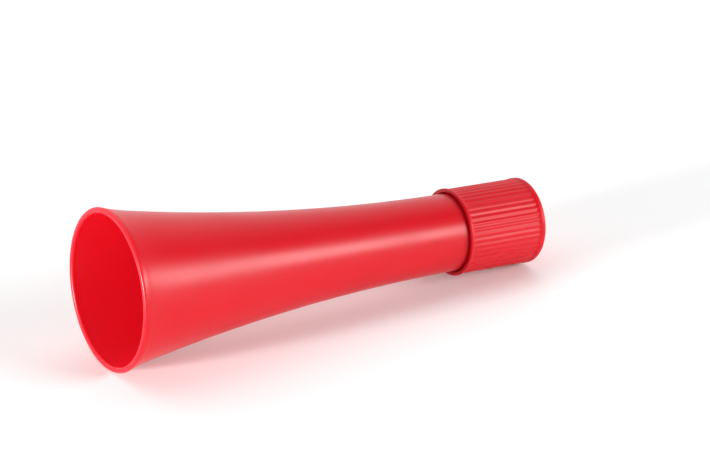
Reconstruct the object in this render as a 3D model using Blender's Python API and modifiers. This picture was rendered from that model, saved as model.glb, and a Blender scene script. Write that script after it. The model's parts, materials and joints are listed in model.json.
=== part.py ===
"""A pouring funnel: a trumpet-shaped tube with a threaded nozzle, closed by a deep ribbed screw cap.

The funnel lies on its side on the ground plane, as it does on a bench: the lip of the mouth and the
closed end of the cap touch Z = 0, so the axis dips a little towards the cap.

Every part is turned about one axis. Its local Z runs from the mouth (0) towards the cap, and the
empty "funnel_axis" lays that axis down in the world. Lengths are in metres.
"""

import math

import bmesh
import bpy

# --- Driving dimensions ---------------------------------------------------------------------------
MOUTH_RADIUS = 0.0360  # outside of the lip
OVERALL_LENGTH = 0.2156  # mouth face to the closed end of the cap
CAP_RADIUS = 0.01985  # plain band at the closed end of the cap
CAP_LENGTH = 0.0411
THREAD_PITCH = 0.0050

# --- Funnel body ----------------------------------------------------------------------------------
WALL = 0.0018
LIP_RISE = 0.0007  # how far the lip stands out from the flare
LIP_ROUND = 0.0011  # rounding of the lip's two edges
LIP_LAND = 0.0005  # width of the flat ring on the mouth face
LIP_FADE = 0.0156  # distance from the mouth at which the lip has blended into the flare
FLARE_LENGTH = 0.1776  # from the mouth face to where the tube runs parallel
FLARE_POWER = 2.02
TUBE_RADIUS = 0.01785
TUBE_ROUND = 0.0006
SHOULDER_AT = 0.1795  # where the tube steps down to the nozzle
NOZZLE_RADIUS = 0.0154
NOZZLE_BORE = 0.0133
NOZZLE_TAPER_AT = 0.1985  # above the thread, the nozzle narrows towards its tip
NOZZLE_TIP_RADIUS = 0.0146
NOZZLE_TIP_BORE = 0.0126
NOZZLE_CHAMFER = 0.0006
THROAT_START = 0.1730  # between these two heights the bore narrows from the tube to the nozzle
THROAT_END = 0.1810

# --- Screw cap ------------------------------------------------------------------------------------
CAP_ROUND = 0.0013  # edge of the closed end
CAP_BAND = 0.0028  # plain band at the closed end, rounding included
CAP_END_WALL = 0.0022
BEAD_RADIUS = 0.02015  # plain bead around the open end
BEAD_LENGTH = 0.0013
BEAD_ROUND = 0.0005
RIB_RADIUS = 0.0196  # crests of the grip ribs
RIB_COUNT = 48
GROOVE_RADIUS = 0.0010  # the grooves between the ribs are round-bottomed
GROOVE_DEPTH = 0.0005
GROOVE_END_GAP = 0.0004  # plain step between the grooves and the bead or the band
SKIRT_CLEARANCE = 0.0005  # between the tube and the inside of the skirt
SKIRT_DEPTH = 0.0060  # depth of the plain bore that slips over the tube
CAP_BORE = 0.01710

# --- Threads --------------------------------------------------------------------------------------
RIDGE_HEIGHT = 0.00135
RIDGE_BASE = 0.0030
RIDGE_CREST = 0.0016
RIDGE_ROOTED = 0.0004  # how deep a ridge is sunk into the wall that carries it
RIDGE_RUNOUT = math.radians(50)  # turn over which a ridge rises from the wall
NOZZLE_THREAD_AT = 0.1843  # height at which the middle of the ridge begins
NOZZLE_THREAD_TURNS = 2.4
CAP_THREAD_TURNS = 1.9

# --- Liner and fits -------------------------------------------------------------------------------
LINER_RADIUS = 0.0166
LINER_THICKNESS = 0.0015
LINER_BEVEL = 0.0003
FACE_GAP = 0.0003  # left between parts that rest on each other

# --- Facets ---------------------------------------------------------------------------------------
TURNED_STEPS = 48
THREAD_STEPS = 32  # per turn
GROOVE_SIDES = 12
FLARE_STATIONS = 12
LIP_STATIONS = 3
ARC_STEPS = 3
MERGE_DISTANCE = 1e-5
SMOOTH_BELOW = math.radians(35)

# --- Places along the axis that follow from the sizes ---------------------------------------------
CAP_OPEN_AT = OVERALL_LENGTH - CAP_LENGTH
LINER_AT = OVERALL_LENGTH - CAP_END_WALL - FACE_GAP - LINER_THICKNESS
NOZZLE_TIP_AT = LINER_AT - FACE_GAP
CAP_THREAD_AT = NOZZLE_THREAD_AT + THREAD_PITCH / 2  # the cap's ridge runs midway in the groove


# --- Shape of the funnel's wall -------------------------------------------------------------------
def flare_radius(height):
    """Outside of the wall without the lip: a power curve that runs out into the parallel tube."""
    widest = MOUTH_RADIUS - LIP_RISE
    left = max(0.0, 1.0 - height / FLARE_LENGTH)
    return TUBE_RADIUS + (widest - TUBE_RADIUS) * left**FLARE_POWER


def outer_radius(height):
    """Outside of the wall with the lip, which curls out over the last stretch before the mouth."""
    curl = min(1.0, max(0.0, (LIP_FADE - height) / (LIP_FADE - LIP_ROUND)))
    return flare_radius(height) + LIP_RISE * curl**2


def arc(radius, height, size, start, end):
    """Points (radius, height) of an arc about a centre, from one angle to another in degrees."""
    angles = [math.radians(start + (end - start) * i / ARC_STEPS) for i in range(ARC_STEPS + 1)]
    return [(radius + size * math.cos(a), height + size * math.sin(a)) for a in angles]


def spaced(first, last, count):
    """Evenly spaced values from first to last, both included."""
    return [first + (last - first) * i / (count - 1) for i in range(count)]


def body_profile():
    """The wall's closed outline: down the outside from the nozzle's tip, then back up the bore."""
    lip = MOUTH_RADIUS - LIP_ROUND
    inner_lip = lip - LIP_LAND
    outside = [
        (NOZZLE_TIP_RADIUS - NOZZLE_CHAMFER, NOZZLE_TIP_AT),
        (NOZZLE_TIP_RADIUS, NOZZLE_TIP_AT - NOZZLE_CHAMFER),
        (NOZZLE_RADIUS, NOZZLE_TAPER_AT),
        (NOZZLE_RADIUS, SHOULDER_AT),
        *arc(TUBE_RADIUS - TUBE_ROUND, SHOULDER_AT - TUBE_ROUND, TUBE_ROUND, 90, 0),
    ]
    flare = [(outer_radius(h), h) for h in spaced(FLARE_LENGTH, LIP_FADE, FLARE_STATIONS)]
    swell = [(outer_radius(h), h) for h in spaced(LIP_FADE, LIP_ROUND, LIP_STATIONS + 2)[1:-1]]
    mouth = [*arc(lip, LIP_ROUND, LIP_ROUND, 0, -90), *arc(inner_lip, LIP_ROUND, LIP_ROUND, -90, -180)]
    bore = [(flare_radius(h) - WALL, h) for h in spaced(LIP_FADE, THROAT_START, FLARE_STATIONS)]
    nozzle = [
        (NOZZLE_BORE, THROAT_END),
        (NOZZLE_BORE, NOZZLE_TAPER_AT),
        (NOZZLE_TIP_BORE, NOZZLE_TIP_AT),
    ]
    return outside + flare + swell + mouth + bore + nozzle


def cap_profile():
    """The cap's section from the middle of its closed end, down its outside and up its bore."""
    bead_top = CAP_OPEN_AT + BEAD_LENGTH
    bead_centre = BEAD_RADIUS - BEAD_ROUND
    skirt = TUBE_RADIUS + SKIRT_CLEARANCE
    return [
        (0.0, OVERALL_LENGTH),
        *arc(CAP_RADIUS - CAP_ROUND, OVERALL_LENGTH - CAP_ROUND, CAP_ROUND, 90, 0),
        (CAP_RADIUS, OVERALL_LENGTH - CAP_BAND),
        (RIB_RADIUS, OVERALL_LENGTH - CAP_BAND - (CAP_RADIUS - RIB_RADIUS)),
        (RIB_RADIUS, bead_top),
        *arc(bead_centre, bead_top - BEAD_ROUND, BEAD_ROUND, 60, 0),
        *arc(bead_centre, CAP_OPEN_AT + BEAD_ROUND, BEAD_ROUND, 0, -90),
        (skirt, CAP_OPEN_AT),
        (skirt, CAP_OPEN_AT + SKIRT_DEPTH),
        (CAP_BORE, CAP_OPEN_AT + SKIRT_DEPTH + (skirt - CAP_BORE)),
        (CAP_BORE, OVERALL_LENGTH - CAP_END_WALL),
        (0.0, OVERALL_LENGTH - CAP_END_WALL),
    ]


# --- Building blocks ------------------------------------------------------------------------------
def clear_scene():
    for obj in list(bpy.data.objects):
        bpy.data.objects.remove(obj, do_unlink=True)


def make_collection(name):
    collection = bpy.data.collections.new(name)
    bpy.context.scene.collection.children.link(collection)
    return collection


def plastic(name, colour, roughness):
    material = bpy.data.materials.new(name)
    material.use_nodes = True
    shader = material.node_tree.nodes["Principled BSDF"]
    shader.inputs["Base Color"].default_value = (*colour, 1.0)
    shader.inputs["Roughness"].default_value = roughness
    shader.inputs["Metallic"].default_value = 0.0
    return material


def place(obj, collection, parent, height=0.0):
    """Links an object and sets it on its parent's axis, at a height above the parent."""
    collection.objects.link(obj)
    obj.parent = parent
    obj.location = (0.0, 0.0, height)
    return obj


def as_cutter(obj):
    obj.hide_render = True
    obj.display_type = "WIRE"
    return obj


def turned(name, profile, closed, base=0.0):
    """A solid of revolution about local Z. Its origin is at the height base of the profile's points."""
    edges = [(i, i + 1) for i in range(len(profile) - 1)]
    if closed:
        edges.append((len(profile) - 1, 0))
    mesh = bpy.data.meshes.new(name)
    mesh.from_pydata([(radius, 0.0, height - base) for radius, height in profile], edges, [])
    obj = bpy.data.objects.new(name, mesh)
    screw = obj.modifiers.new("turn", "SCREW")
    screw.steps = screw.render_steps = TURNED_STEPS
    screw.use_merge_vertices = True
    screw.merge_threshold = MERGE_DISTANCE
    screw.use_smooth_shade = True
    return obj


def boolean(obj, other, operation):
    modifier = obj.modifiers.new(operation.lower() + " " + other.name, "BOOLEAN")
    modifier.operation = operation
    modifier.object = other


def mesh_object(name, bm):
    """Turns a finished bmesh into an object with smooth round faces and crisp corners."""
    bmesh.ops.recalc_face_normals(bm, faces=bm.faces)
    mesh = bpy.data.meshes.new(name)
    bm.to_mesh(mesh)
    bm.free()
    mesh.shade_smooth()
    mesh.set_sharp_from_angle(angle=SMOOTH_BELOW)
    return bpy.data.objects.new(name, mesh)


def helical_ridge(name, wall_radius, outward, start, turns):
    """A right-hand thread ridge of trapezoid section, which sinks into its wall at both ends.

    outward is +1 for a ridge on the outside of the nozzle and -1 for one inside the cap.
    """
    bm = bmesh.new()
    steps = round(turns * THREAD_STEPS)
    total = turns * math.tau
    root = wall_radius - outward * RIDGE_ROOTED
    lowest = RIDGE_ROOTED / 2  # where a ridge ends, its crest is still this far inside the wall
    highest = RIDGE_ROOTED + RIDGE_HEIGHT
    sections = []
    for i in range(steps + 1):
        angle = total * i / steps
        rise = min(1.0, min(angle, total - angle) / RIDGE_RUNOUT)
        crest = root + outward * (lowest + (highest - lowest) * rise)
        middle = start + THREAD_PITCH * angle / math.tau
        outline = (
            (root, middle - RIDGE_BASE / 2),
            (crest, middle - RIDGE_CREST / 2),
            (crest, middle + RIDGE_CREST / 2),
            (root, middle + RIDGE_BASE / 2),
        )
        cosine, sine = math.cos(angle), math.sin(angle)
        sections.append([bm.verts.new((r * cosine, r * sine, h)) for r, h in outline])
    for low, high in zip(sections, sections[1:]):
        for k in range(4):
            bm.faces.new((low[k], low[(k + 1) % 4], high[(k + 1) % 4], high[k]))
    bm.faces.new(sections[0])
    bm.faces.new(sections[-1])
    return as_cutter(mesh_object(name, bm))


def groove_cutters(name, first, last):
    """One rod for each groove of the grip, sunk into the middle of each facet of the cap."""
    bm = bmesh.new()
    facet_radius = RIB_RADIUS * math.cos(math.pi / RIB_COUNT)
    centre = facet_radius + GROOVE_RADIUS - GROOVE_DEPTH
    for i in range(RIB_COUNT):
        angle = math.tau * (i + 0.5) / RIB_COUNT
        rod = bmesh.ops.create_cone(
            bm,
            cap_ends=True,
            segments=GROOVE_SIDES,
            radius1=GROOVE_RADIUS,
            radius2=GROOVE_RADIUS,
            depth=last - first,
        )
        where = (centre * math.cos(angle), centre * math.sin(angle), (first + last) / 2)
        bmesh.ops.translate(bm, verts=rod["verts"], vec=where)
    return as_cutter(mesh_object(name, bm))


# --- The axis -------------------------------------------------------------------------------------
def resting_tilt():
    """How far the axis dips towards the cap when the lip and the cap's edge both touch the ground.

    Both touch it with a rounded edge, so the ground is tangent to two arcs of the outline.
    """
    drop = (MOUTH_RADIUS - LIP_ROUND) - (CAP_RADIUS - CAP_ROUND)
    run = (OVERALL_LENGTH - CAP_ROUND) - LIP_ROUND
    return math.atan2(drop, run) - math.asin((CAP_ROUND - LIP_ROUND) / math.hypot(drop, run))


def lay_down_axis(collection):
    """The empty that every part hangs on. Its Z runs along the funnel, towards +X and a little down."""
    tilt = resting_tilt()
    lip = MOUTH_RADIUS - LIP_ROUND
    height = lip * math.cos(tilt) + LIP_ROUND * math.sin(tilt) + LIP_ROUND
    forward, down = math.cos(tilt), math.sin(tilt)
    nearest = -MOUTH_RADIUS * down  # the top of the lip leans back over the mouth's centre
    furthest = OVERALL_LENGTH * forward + (CAP_RADIUS - CAP_ROUND) * down
    axis = bpy.data.objects.new("funnel_axis", None)
    axis.empty_display_size = MOUTH_RADIUS
    axis.rotation_euler = (0.0, math.pi / 2 + tilt, 0.0)
    axis.location = (-(nearest + furthest) / 2, 0.0, height)
    collection.objects.link(axis)
    return axis


# --- Parts ----------------------------------------------------------------------------------------
def make_funnel_body(axis, collection, cutters):
    body = place(turned("funnel_body", body_profile(), closed=True), collection, axis)
    ridge = helical_ridge(
        "nozzle_thread", NOZZLE_RADIUS, 1, NOZZLE_THREAD_AT, NOZZLE_THREAD_TURNS
    )
    boolean(body, place(ridge, cutters, axis), "UNION")
    body.data.materials.append(plastic("funnel_red", (0.58, 0.005, 0.014), 0.32))


def make_screw_cap(axis, collection, cutters):
    cap = turned("screw_cap", cap_profile(), closed=False, base=CAP_OPEN_AT)
    place(cap, collection, axis, CAP_OPEN_AT)
    grooves = groove_cutters(
        "grip_grooves",
        CAP_OPEN_AT + BEAD_LENGTH + GROOVE_END_GAP,
        OVERALL_LENGTH - CAP_BAND - GROOVE_END_GAP,
    )
    boolean(cap, place(grooves, cutters, axis), "DIFFERENCE")
    ridge = helical_ridge("cap_thread", CAP_BORE, -1, CAP_THREAD_AT, CAP_THREAD_TURNS)
    boolean(cap, place(ridge, cutters, axis), "UNION")
    cap.data.materials.append(plastic("cap_red", (0.58, 0.005, 0.015), 0.42))


def make_cap_liner(axis, collection):
    bm = bmesh.new()
    bmesh.ops.create_cone(
        bm,
        cap_ends=True,
        segments=TURNED_STEPS,
        radius1=LINER_RADIUS,
        radius2=LINER_RADIUS,
        depth=LINER_THICKNESS,
    )
    liner = place(mesh_object("cap_liner", bm), collection, axis, LINER_AT + LINER_THICKNESS / 2)
    bevel = liner.modifiers.new("soft edge", "BEVEL")
    bevel.width = LINER_BEVEL
    bevel.segments = 1
    liner.data.materials.append(plastic("liner_foam", (0.80, 0.79, 0.75), 0.75))


def main():
    clear_scene()
    collection = make_collection("funnel")
    cutters = make_collection("cutters")
    axis = lay_down_axis(collection)
    make_funnel_body(axis, collection, cutters)
    make_screw_cap(axis, collection, cutters)
    make_cap_liner(axis, collection)


main()
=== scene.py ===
"""The look of the pouring funnel: smooth mouldings in semi-gloss red plastic, on a matt white table.

Three pieces stand for the three CAD nodes. Each is a surface turned about the funnel's axis, whose
grip ribs and threads are relief on the turned wall. Lengths are in metres.
"""

import json
import math

import bmesh
import bpy
from mathutils import Matrix, Vector


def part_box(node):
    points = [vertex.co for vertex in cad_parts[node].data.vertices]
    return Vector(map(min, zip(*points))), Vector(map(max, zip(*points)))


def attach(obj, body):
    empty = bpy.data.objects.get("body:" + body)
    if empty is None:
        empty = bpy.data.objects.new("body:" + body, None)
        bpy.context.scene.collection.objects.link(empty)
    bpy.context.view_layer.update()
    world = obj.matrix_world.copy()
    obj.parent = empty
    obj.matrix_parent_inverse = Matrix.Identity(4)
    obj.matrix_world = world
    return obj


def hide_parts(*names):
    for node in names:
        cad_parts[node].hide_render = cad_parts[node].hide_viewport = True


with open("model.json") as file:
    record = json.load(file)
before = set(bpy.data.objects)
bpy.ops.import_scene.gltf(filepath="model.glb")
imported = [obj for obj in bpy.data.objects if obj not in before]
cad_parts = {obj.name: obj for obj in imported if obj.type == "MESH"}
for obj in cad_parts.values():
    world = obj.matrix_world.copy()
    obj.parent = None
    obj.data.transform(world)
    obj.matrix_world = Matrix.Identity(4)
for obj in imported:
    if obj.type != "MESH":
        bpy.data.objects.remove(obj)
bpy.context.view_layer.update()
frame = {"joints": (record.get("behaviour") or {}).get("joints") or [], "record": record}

# --- The frame: the axis, and the sizes that the CAD model settles --------------------------------
JOINTS = {joint["name"]: joint for joint in frame["joints"]}
MOUNTS = {mount["name"]: mount for mount in frame["record"]["mounts"]}
AXIS = Vector(JOINTS["cap_turn"]["axis"]).normalized()
CAP_OPENING = Vector(JOINTS["cap_turn"]["pos_m"])


def past_cap_opening(mount):
    """Distance of a mount from the cap's open end, along the axis towards the closed end."""
    return (Vector(MOUNTS[mount]["pos_m"]) - CAP_OPENING).dot(AXIS)


def half_width(node):
    low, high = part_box(node)
    return (high.y - low.y) / 2


MOUTH = CAP_OPENING + AXIS * past_cap_opening("mouth_rim")
CAP_LENGTH = past_cap_opening("cap_end")
OVERALL_LENGTH = CAP_LENGTH - past_cap_opening("mouth_rim")
MOUTH_RADIUS = half_width("funnel_body")
BEAD_RADIUS = half_width("screw_cap")
LINER_RADIUS = half_width("cap_liner")
CAP_OPEN_AT = OVERALL_LENGTH - CAP_LENGTH
MIDDLE = MOUTH + AXIS * (OVERALL_LENGTH / 2)

# --- Funnel body ----------------------------------------------------------------------------------
WALL = 0.0018
LIP_RISE = 0.0007  # how far the lip stands out from the flare
LIP_ROUND = 0.0011  # rounding of the lip's two edges
LIP_LAND = 0.0005  # flat ring between them, on the mouth face
LIP_FADE = 0.0156  # distance from the mouth at which the lip has blended into the flare
FLARE_LENGTH = CAP_OPEN_AT + 0.0031
FLARE_POWER = 2.02
TUBE_RADIUS = 0.01785
TUBE_ROUND = 0.0006
SHOULDER_AT = CAP_OPEN_AT + 0.0050  # where the tube steps down to the nozzle
NOZZLE_RADIUS = 0.0154
NOZZLE_BORE = 0.0133
NOZZLE_TAPER_AT = CAP_OPEN_AT + 0.0240
NOZZLE_TIP_RADIUS = 0.0146
NOZZLE_TIP_BORE = 0.0126
NOZZLE_EDGE = 0.0006
THROAT_START = CAP_OPEN_AT - 0.0015  # between these two the bore narrows to the nozzle's
THROAT_END = CAP_OPEN_AT + 0.0065

# --- Screw cap ------------------------------------------------------------------------------------
CAP_RADIUS = BEAD_RADIUS - 0.0003
CAP_ROUND = 0.0013
CAP_BAND = 0.0028  # plain band at the closed end, rounding included
CAP_END_WALL = 0.0022
BEAD_LENGTH = 0.0013
BEAD_ROUND = 0.0005
RIB_RADIUS = BEAD_RADIUS - 0.00055
RIB_COUNT = 48
RIB_DEPTH = 0.00034
GROOVE_POWER = 0.75  # under 1, the grooves are wider than the crests
RIB_END_SLOPE = 0.0007  # length over which a groove comes up to the plain wall
SKIRT_CLEARANCE = 0.0005
SKIRT_DEPTH = 0.0060
SKIRT_EDGE = 0.0003
CAP_BORE = 0.01710
GATE_RADIUS = 0.0022  # the dimple that the moulding gate leaves in the closed end
GATE_DEPTH = 0.0003
GATE_FLOOR = 0.5  # share of the dimple's radius that is flat

# --- Threads --------------------------------------------------------------------------------------
THREAD_PITCH = 0.0050
RIDGE_HEIGHT = 0.00130
RIDGE_BASE = 0.0029
RIDGE_CREST = 0.0014
RIDGE_RUNOUT = 50 / 360  # share of a turn over which a ridge rises from the wall
NOZZLE_THREAD_AT = CAP_OPEN_AT + 0.0098
NOZZLE_THREAD_TURNS = 2.4
CAP_THREAD_AT = NOZZLE_THREAD_AT + THREAD_PITCH / 2
CAP_THREAD_TURNS = 1.9
THREAD_ROW = 0.00025

# --- Liner ----------------------------------------------------------------------------------------
FACE_GAP = 0.0003
LINER_THICKNESS = 0.0015
LINER_ROUND = 0.0003
LINER_AT = OVERALL_LENGTH - CAP_END_WALL - FACE_GAP - LINER_THICKNESS
NOZZLE_TIP_AT = LINER_AT - FACE_GAP

# --- Fineness -------------------------------------------------------------------------------------
BODY_COLUMNS = 256
CAP_COLUMNS = RIB_COUNT * 10
LINER_COLUMNS = 96
FLARE_ROWS = 72
THROAT_ROWS = 12
GRIP_ROWS = 24
SLOPE_ROWS = 6
GATE_ROWS = 6
ARC_ROWS = 8
EDGE_ROW = 0.0002  # from the skirt's rounded edge to the first row of its bore
SAME_RADIUS = 1e-7  # rows this near to a wall's radius are rows of that wall


# --- Turned surfaces ------------------------------------------------------------------------------
def smooth_step(value):
    value = min(1.0, max(0.0, value))
    return value * value * (3.0 - 2.0 * value)


def arc(radius, height, size, start, end):
    """Points (radius, height) of an arc about a centre, from one angle to another in degrees."""
    angles = [math.radians(start + (end - start) * i / ARC_ROWS) for i in range(ARC_ROWS + 1)]
    return [(radius + size * math.cos(a), height + size * math.sin(a)) for a in angles]


def straight(first, last, rows):
    """Points evenly spaced from first to last, without the last."""
    (r0, h0), (r1, h1) = first, last
    return [(r0 + (r1 - r0) * i / rows, h0 + (h1 - h0) * i / rows) for i in range(rows)]


def funnel_axis():
    """The matrix that lays local Z along the axis from the mouth, with local X on the underside."""
    side = Vector((0.0, 1.0, 0.0))
    turned = Matrix((side.cross(AXIS), side, AXIS)).transposed().to_4x4()
    return Matrix.Translation(MOUTH) @ turned


def turned_piece(name, profile, columns, relief=None):
    """A closed surface turned about local Z from points (radius, height), down its outside first.

    A profile that starts and ends on the axis is closed by a point at each end, and any other runs
    round to its own start. relief(angle, radius, height) is added to the radius.
    """
    place = funnel_axis()
    bm = bmesh.new()
    capped = profile[0][0] == 0.0
    rings = []
    for radius, height in profile:
        if radius == 0.0:
            rings.append([bm.verts.new(place @ Vector((0.0, 0.0, height)))])
            continue
        ring = []
        for i in range(columns):
            angle = math.tau * i / columns
            r = radius + (relief(angle, radius, height) if relief else 0.0)
            point = Vector((r * math.cos(angle), r * math.sin(angle), height))
            ring.append(bm.verts.new(place @ point))
        rings.append(ring)
    pairs = list(zip(rings, rings[1:]))
    if not capped:
        pairs.append((rings[-1], rings[0]))
    for upper, lower in pairs:
        for i in range(columns):
            j = (i + 1) % columns
            if len(upper) == 1:
                bm.faces.new((upper[0], lower[i], lower[j]))
            elif len(lower) == 1:
                bm.faces.new((upper[i], lower[0], upper[j]))
            else:
                bm.faces.new((upper[i], lower[i], lower[j], upper[j]))
    bmesh.ops.recalc_face_normals(bm, faces=bm.faces)
    mesh = bpy.data.meshes.new(name)
    bm.to_mesh(mesh)
    bm.free()
    mesh.shade_smooth()
    piece = bpy.data.objects.new(name, mesh)
    bpy.context.scene.collection.objects.link(piece)
    return piece


def thread_relief(angle, height, start, turns):
    """Height of a right-hand thread's ridge above its wall, at an angle and a height."""
    share = angle / math.tau
    turn = share + round((height - start) / THREAD_PITCH - share)
    away = abs(height - start - turn * THREAD_PITCH)
    rise = smooth_step(min(turn, turns - turn) / RIDGE_RUNOUT)
    flank = smooth_step((RIDGE_BASE / 2 - away) / ((RIDGE_BASE - RIDGE_CREST) / 2))
    return RIDGE_HEIGHT * rise * flank


# --- Funnel body ----------------------------------------------------------------------------------
def flare_radius(height):
    widest = MOUTH_RADIUS - LIP_RISE
    left = max(0.0, 1.0 - height / FLARE_LENGTH)
    return TUBE_RADIUS + (widest - TUBE_RADIUS) * left**FLARE_POWER


def outer_radius(height):
    curl = min(1.0, max(0.0, (LIP_FADE - height) / (LIP_FADE - LIP_ROUND)))
    return flare_radius(height) + LIP_RISE * curl**2


def body_profile():
    lip = MOUTH_RADIUS - LIP_ROUND
    inner_lip = lip - LIP_LAND
    throat_radius = flare_radius(THROAT_START) - WALL
    thread_rows = round((NOZZLE_TAPER_AT - SHOULDER_AT) / THREAD_ROW)
    tip_edge = NOZZLE_TIP_AT - NOZZLE_EDGE
    outside = [
        *arc(NOZZLE_TIP_RADIUS - NOZZLE_EDGE, tip_edge, NOZZLE_EDGE, 90, 0),
        *straight((NOZZLE_TIP_RADIUS, tip_edge), (NOZZLE_RADIUS, NOZZLE_TAPER_AT), 8)[1:],
        *straight((NOZZLE_RADIUS, NOZZLE_TAPER_AT), (NOZZLE_RADIUS, SHOULDER_AT), thread_rows),
        *straight((NOZZLE_RADIUS, SHOULDER_AT), (TUBE_RADIUS - TUBE_ROUND, SHOULDER_AT), 4),
        *arc(TUBE_RADIUS - TUBE_ROUND, SHOULDER_AT - TUBE_ROUND, TUBE_ROUND, 90, 0),
    ]
    steps = [FLARE_LENGTH + (LIP_ROUND - FLARE_LENGTH) * i / FLARE_ROWS for i in range(FLARE_ROWS)]
    flare = [(outer_radius(h), h) for h in steps]
    mouth = [*arc(lip, LIP_ROUND, LIP_ROUND, 0, -90), *arc(inner_lip, LIP_ROUND, LIP_ROUND, -90, -180)]
    steps = [LIP_ROUND + (THROAT_START - LIP_ROUND) * i / FLARE_ROWS for i in range(1, FLARE_ROWS)]
    bore = [(flare_radius(h) - WALL, h) for h in steps]
    shares = [i / THROAT_ROWS for i in range(THROAT_ROWS)]
    throat = [
        (
            throat_radius + (NOZZLE_BORE - throat_radius) * smooth_step(share),
            THROAT_START + (THROAT_END - THROAT_START) * share,
        )
        for share in shares
    ]
    nozzle = [
        *straight((NOZZLE_BORE, THROAT_END), (NOZZLE_BORE, NOZZLE_TAPER_AT), 8),
        *straight((NOZZLE_BORE, NOZZLE_TAPER_AT), (NOZZLE_TIP_BORE, NOZZLE_TIP_AT), 6),
        (NOZZLE_TIP_BORE, NOZZLE_TIP_AT),
    ]
    return outside + flare + mouth + bore + throat + nozzle


def body_relief(angle, radius, height):
    if abs(radius - NOZZLE_RADIUS) > SAME_RADIUS:
        return 0.0
    return thread_relief(angle, height, NOZZLE_THREAD_AT, NOZZLE_THREAD_TURNS)


def make_funnel_shell(material):
    shell = turned_piece("funnel_shell", body_profile(), BODY_COLUMNS, body_relief)
    shell.data.materials.append(material)
    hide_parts("funnel_body")
    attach(shell, "funnel")


# --- Screw cap ------------------------------------------------------------------------------------
GRIP_TOP = OVERALL_LENGTH - CAP_BAND - (CAP_RADIUS - RIB_RADIUS)
GRIP_BOTTOM = CAP_OPEN_AT + BEAD_LENGTH


def gate_height(share):
    """Height of the closed end at a share of the dimple's radius from the axis."""
    return OVERALL_LENGTH - GATE_DEPTH * (1.0 - smooth_step((share - GATE_FLOOR) / (1.0 - GATE_FLOOR)))


def cap_profile():
    end_edge = CAP_RADIUS - CAP_ROUND
    bead_centre = BEAD_RADIUS - BEAD_ROUND
    skirt = TUBE_RADIUS + SKIRT_CLEARANCE
    skirt_top = CAP_OPEN_AT + SKIRT_DEPTH
    inner_end = OVERALL_LENGTH - CAP_END_WALL
    thread_top = CAP_THREAD_AT + THREAD_PITCH * CAP_THREAD_TURNS + RIDGE_BASE
    bore_bottom = skirt_top + skirt - CAP_BORE
    thread_rows = round((thread_top - bore_bottom) / THREAD_ROW)
    skirt_bottom = CAP_OPEN_AT + SKIRT_EDGE
    upper_slope = (RIB_RADIUS, GRIP_TOP - RIB_END_SLOPE)
    lower_slope = (RIB_RADIUS, GRIP_BOTTOM + RIB_END_SLOPE)
    gate = [(GATE_RADIUS * i / GATE_ROWS, gate_height(i / GATE_ROWS)) for i in range(GATE_ROWS + 1)]
    return [
        *gate,
        *straight((GATE_RADIUS, OVERALL_LENGTH), (end_edge, OVERALL_LENGTH), 10)[1:],
        *arc(end_edge, OVERALL_LENGTH - CAP_ROUND, CAP_ROUND, 90, 0),
        (CAP_RADIUS, OVERALL_LENGTH - CAP_BAND),
        *straight((RIB_RADIUS, GRIP_TOP), upper_slope, SLOPE_ROWS),
        *straight(upper_slope, lower_slope, GRIP_ROWS),
        *straight(lower_slope, (RIB_RADIUS, GRIP_BOTTOM), SLOPE_ROWS),
        *arc(bead_centre, GRIP_BOTTOM - BEAD_ROUND, BEAD_ROUND, 60, 0),
        *arc(bead_centre, CAP_OPEN_AT + BEAD_ROUND, BEAD_ROUND, 0, -90),
        *arc(skirt + SKIRT_EDGE, skirt_bottom, SKIRT_EDGE, -90, -180),
        *straight((skirt, skirt_bottom + EDGE_ROW), (skirt, skirt_top), 4),
        *straight((skirt, skirt_top), (CAP_BORE, bore_bottom), 3),
        *straight((CAP_BORE, bore_bottom), (CAP_BORE, thread_top), thread_rows),
        *straight((CAP_BORE, thread_top), (CAP_BORE, inner_end), 10),
        *straight((CAP_BORE, inner_end), (0.0, inner_end), 10),
        (0.0, inner_end),
    ]


def cap_relief(angle, radius, height):
    if abs(radius - RIB_RADIUS) < SAME_RADIUS:
        ends = min(GRIP_TOP - height, height - GRIP_BOTTOM)
        groove = (1.0 - math.cos(RIB_COUNT * angle)) / 2.0
        return -RIB_DEPTH * groove**GROOVE_POWER * smooth_step(ends / RIB_END_SLOPE)
    if abs(radius - CAP_BORE) < SAME_RADIUS:
        return -thread_relief(angle, height, CAP_THREAD_AT, CAP_THREAD_TURNS)
    return 0.0


def make_cap_shell(material):
    shell = turned_piece("cap_shell", cap_profile(), CAP_COLUMNS, cap_relief)
    shell.data.materials.append(material)
    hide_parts("screw_cap")
    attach(shell, "cap")


# --- Liner ----------------------------------------------------------------------------------------
def make_liner_disc(material):
    top = LINER_AT + LINER_THICKNESS
    edge = LINER_RADIUS - LINER_ROUND
    profile = [
        *straight((0.0, top), (edge, top), 8),
        *arc(edge, top - LINER_ROUND, LINER_ROUND, 90, 0),
        *arc(edge, LINER_AT + LINER_ROUND, LINER_ROUND, 0, -90),
        *straight((edge, LINER_AT), (0.0, LINER_AT), 8)[1:],
        (0.0, LINER_AT),
    ]
    disc = turned_piece("liner_disc", profile, LINER_COLUMNS)
    disc.data.materials.append(material)
    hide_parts("cap_liner")
    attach(disc, "cap_carrier")


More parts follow.
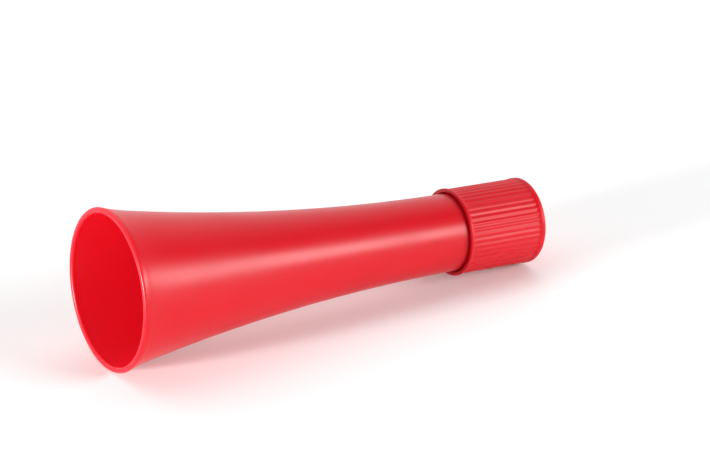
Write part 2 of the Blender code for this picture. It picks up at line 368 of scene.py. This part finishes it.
# --- Materials ------------------------------------------------------------------------------------
NOISE_RANGE = (0.25, 0.75)  # where nearly all of a noise texture's values lie
CLOUD_SCALE = 38.0
CLOUD_STRETCH = (0.35, 1.0, 1.0)  # clouds and smears are drawn out along the funnel
SMEAR_SCALE = 70.0
SMEAR_STRETCH = (0.4, 1.0, 1.0)
GLOSSIER = 0.035
DULLER = 0.045
GRAIN_SCALE = 2600.0
PLASTIC_IOR = 1.49
PLASTIC_SPECULAR = 0.27
GLOW_SHARE = 0.45  # light that enters the plastic and leaves it again nearby
GLOW_RADIUS = (1.0, 0.10, 0.08)
GLOW_SCALE = 0.0025
CELL_SCALE = 2800.0
CELL_DEPTH = 0.00006
FOAM_LIGHT = (0.86, 0.85, 0.81)
FOAM_DARK = (0.72, 0.70, 0.64)
FOAM_ROUGHNESS = (0.62, 0.78)
FOAM_SMEAR_SCALE = 300.0


def new_material(name):
    material = bpy.data.materials.new(name)
    material.use_nodes = True
    return material, material.node_tree, material.node_tree.nodes["Principled BSDF"]


def noise(tree, scale, detail=2.0, stretch=(1.0, 1.0, 1.0)):
    """A noise texture in the piece's own metres. Returns its factor output."""
    place = tree.nodes.new("ShaderNodeTexCoord")
    mapping = tree.nodes.new("ShaderNodeMapping")
    mapping.inputs["Scale"].default_value = stretch
    texture = tree.nodes.new("ShaderNodeTexNoise")
    texture.inputs["Scale"].default_value = scale
    texture.inputs["Detail"].default_value = detail
    tree.links.new(place.outputs["Object"], mapping.inputs["Vector"])
    tree.links.new(mapping.outputs["Vector"], texture.inputs["Vector"])
    return texture.outputs["Fac"]


def between(tree, factor, low, high):
    """Maps a noise factor onto low to high, levelling off at both ends."""
    mapped = tree.nodes.new("ShaderNodeMapRange")
    mapped.interpolation_type = "SMOOTHSTEP"
    mapped.inputs["From Min"].default_value = NOISE_RANGE[0]
    mapped.inputs["From Max"].default_value = NOISE_RANGE[1]
    mapped.inputs["To Min"].default_value = low
    mapped.inputs["To Max"].default_value = high
    tree.links.new(factor, mapped.inputs["Value"])
    return mapped.outputs["Result"]


def two_colours(tree, factor, first, second):
    mix = tree.nodes.new("ShaderNodeMix")
    mix.data_type = "RGBA"
    mix.inputs["A"].default_value = (*first, 1.0)
    mix.inputs["B"].default_value = (*second, 1.0)
    tree.links.new(factor, mix.inputs["Factor"])
    return mix.outputs["Result"]


def bump(tree, height, distance):
    node = tree.nodes.new("ShaderNodeBump")
    node.inputs["Strength"].default_value = 1.0
    node.inputs["Distance"].default_value = distance
    tree.links.new(height, node.inputs["Height"])
    return node.outputs["Normal"]


def red_plastic(name, colour, deeper, roughness, grain):
    """Moulded polypropylene: faint clouding of the pigment, uneven gloss and a fine mould grain."""
    material, tree, shader = new_material(name)
    clouds = noise(tree, CLOUD_SCALE, 3.0, CLOUD_STRETCH)
    shade = two_colours(tree, between(tree, clouds, 0.0, 1.0), colour, deeper)
    tree.links.new(shade, shader.inputs["Base Color"])
    smears = noise(tree, SMEAR_SCALE, 5.0, SMEAR_STRETCH)
    gloss = between(tree, smears, roughness - GLOSSIER, roughness + DULLER)
    tree.links.new(gloss, shader.inputs["Roughness"])
    tree.links.new(bump(tree, noise(tree, GRAIN_SCALE), grain), shader.inputs["Normal"])
    shader.inputs["IOR"].default_value = PLASTIC_IOR
    shader.inputs["Specular IOR Level"].default_value = PLASTIC_SPECULAR
    shader.inputs["Subsurface Weight"].default_value = GLOW_SHARE
    shader.inputs["Subsurface Radius"].default_value = GLOW_RADIUS
    shader.inputs["Subsurface Scale"].default_value = GLOW_SCALE
    return material


def foam(name):
    """Expanded polyethylene: off-white, matt, with closed cells of about a third of a millimetre."""
    material, tree, shader = new_material(name)
    cells = tree.nodes.new("ShaderNodeTexVoronoi")
    cells.inputs["Scale"].default_value = CELL_SCALE
    place = tree.nodes.new("ShaderNodeTexCoord")
    tree.links.new(place.outputs["Object"], cells.inputs["Vector"])
    shade = two_colours(tree, cells.outputs["Distance"], FOAM_LIGHT, FOAM_DARK)
    tree.links.new(shade, shader.inputs["Base Color"])
    tree.links.new(bump(tree, cells.outputs["Distance"], CELL_DEPTH), shader.inputs["Normal"])
    gloss = between(tree, noise(tree, FOAM_SMEAR_SCALE), *FOAM_ROUGHNESS)
    tree.links.new(gloss, shader.inputs["Roughness"])
    return material


# --- Table, light and camera ----------------------------------------------------------------------
TABLE_HALF = 6.0
VIEW_AZIMUTH = math.radians(-31.27)
VIEW_ELEVATION = math.radians(24.05)
VIEW_DISTANCE = 1.3357
LENS = 152.1
AIM_RIGHT = 0.0144  # the picture's middle lies to the right of and above the funnel's middle
AIM_UP = 0.0121
WORLD_BACK = 1.25  # the studio's light from behind the funnel, and from the camera's side
WORLD_FRONT = 0.19
BACK_FROM = 0.6  # share of +Y in a direction, from which on the studio is at its brightest
FRONT_TO = -0.3


def make_table():
    mesh = bpy.data.meshes.new("table")
    corners = [(-1, -1), (1, -1), (1, 1), (-1, 1)]
    mesh.from_pydata([(x * TABLE_HALF, y * TABLE_HALF, 0.0) for x, y in corners], [], [(0, 1, 2, 3)])
    table = bpy.data.objects.new("table", mesh)
    bpy.context.scene.collection.objects.link(table)
    material, _, shader = new_material("white_acrylic")
    shader.inputs["Base Color"].default_value = (0.98, 0.98, 0.98, 1.0)
    shader.inputs["Roughness"].default_value = 0.55
    shader.inputs["Specular IOR Level"].default_value = 0.1
    mesh.materials.append(material)


def area_light(name, towards, distance, size, power):
    """A softbox in a direction from the funnel's middle, facing it. size is (width, height)."""
    light = bpy.data.lights.new(name, "AREA")
    light.shape = "RECTANGLE"
    light.size, light.size_y = size
    light.energy = power
    lamp = bpy.data.objects.new(name, light)
    bpy.context.scene.collection.objects.link(lamp)
    direction = Vector(towards).normalized()
    lamp.location = MIDDLE + direction * distance
    lamp.rotation_euler = direction.to_track_quat("Z", "Y").to_euler()


def make_world():
    """A studio, bright behind the funnel and dark in front of it, and plain white to the camera."""
    world = bpy.data.worlds.new("studio")
    world.use_nodes = True
    tree = world.node_tree
    place = tree.nodes.new("ShaderNodeTexCoord")
    direction = tree.nodes.new("ShaderNodeSeparateXYZ")
    tree.links.new(place.outputs["Generated"], direction.inputs["Vector"])
    shade = tree.nodes.new("ShaderNodeMapRange")
    shade.interpolation_type = "SMOOTHSTEP"
    shade.inputs["From Min"].default_value = FRONT_TO
    shade.inputs["From Max"].default_value = BACK_FROM
    shade.inputs["To Min"].default_value = WORLD_FRONT
    shade.inputs["To Max"].default_value = WORLD_BACK
    tree.links.new(direction.outputs["Y"], shade.inputs["Value"])
    seen = tree.nodes.new("ShaderNodeLightPath")
    strength = tree.nodes.new("ShaderNodeMix")
    strength.inputs["B"].default_value = 1.0
    tree.links.new(seen.outputs["Is Camera Ray"], strength.inputs["Factor"])
    tree.links.new(shade.outputs["Result"], strength.inputs["A"])
    background = tree.nodes["Background"]
    background.inputs["Color"].default_value = (1.0, 1.0, 1.0, 1.0)
    tree.links.new(strength.outputs["Result"], background.inputs["Strength"])
    bpy.context.scene.world = world


def make_camera():
    back = Vector(
        (
            math.sin(VIEW_AZIMUTH) * math.cos(VIEW_ELEVATION),
            -math.cos(VIEW_AZIMUTH) * math.cos(VIEW_ELEVATION),
            math.sin(VIEW_ELEVATION),
        )
    )
    right = Vector((math.cos(VIEW_AZIMUTH), math.sin(VIEW_AZIMUTH), 0.0))
    up = back.cross(right)
    camera = bpy.data.objects.new("camera", bpy.data.cameras.new("camera"))
    camera.data.lens = LENS
    camera.location = MIDDLE + back * VIEW_DISTANCE + right * AIM_RIGHT + up * AIM_UP
    camera.rotation_euler = back.to_track_quat("Z", "Y").to_euler()
    bpy.context.scene.collection.objects.link(camera)
    bpy.context.scene.camera = camera


funnel_red = red_plastic(
    "funnel_red",
    colour=(0.63, 0.0045, 0.014),
    deeper=(0.60, 0.004, 0.012),
    roughness=0.325,
    grain=3e-6,
)
cap_red = red_plastic(
    "cap_red",
    colour=(0.63, 0.005, 0.015),
    deeper=(0.60, 0.0045, 0.013),
    roughness=0.42,
    grain=4e-6,
)
make_funnel_shell(funnel_red)
make_cap_shell(cap_red)
make_liner_disc(foam("liner_foam"))
make_table()
make_world()
# The first softbox draws the highlight along the flank, and the second shines straight into the mouth.
area_light("key_softbox", (0.66, -0.69, 0.31), distance=3.0, size=(2.1, 0.9), power=94.0)
area_light("mouth_softbox", (-0.994, -0.055, 0.10), distance=3.0, size=(0.34, 0.34), power=205.0)
make_camera()
bpy.context.scene.view_settings.view_transform = "Standard"
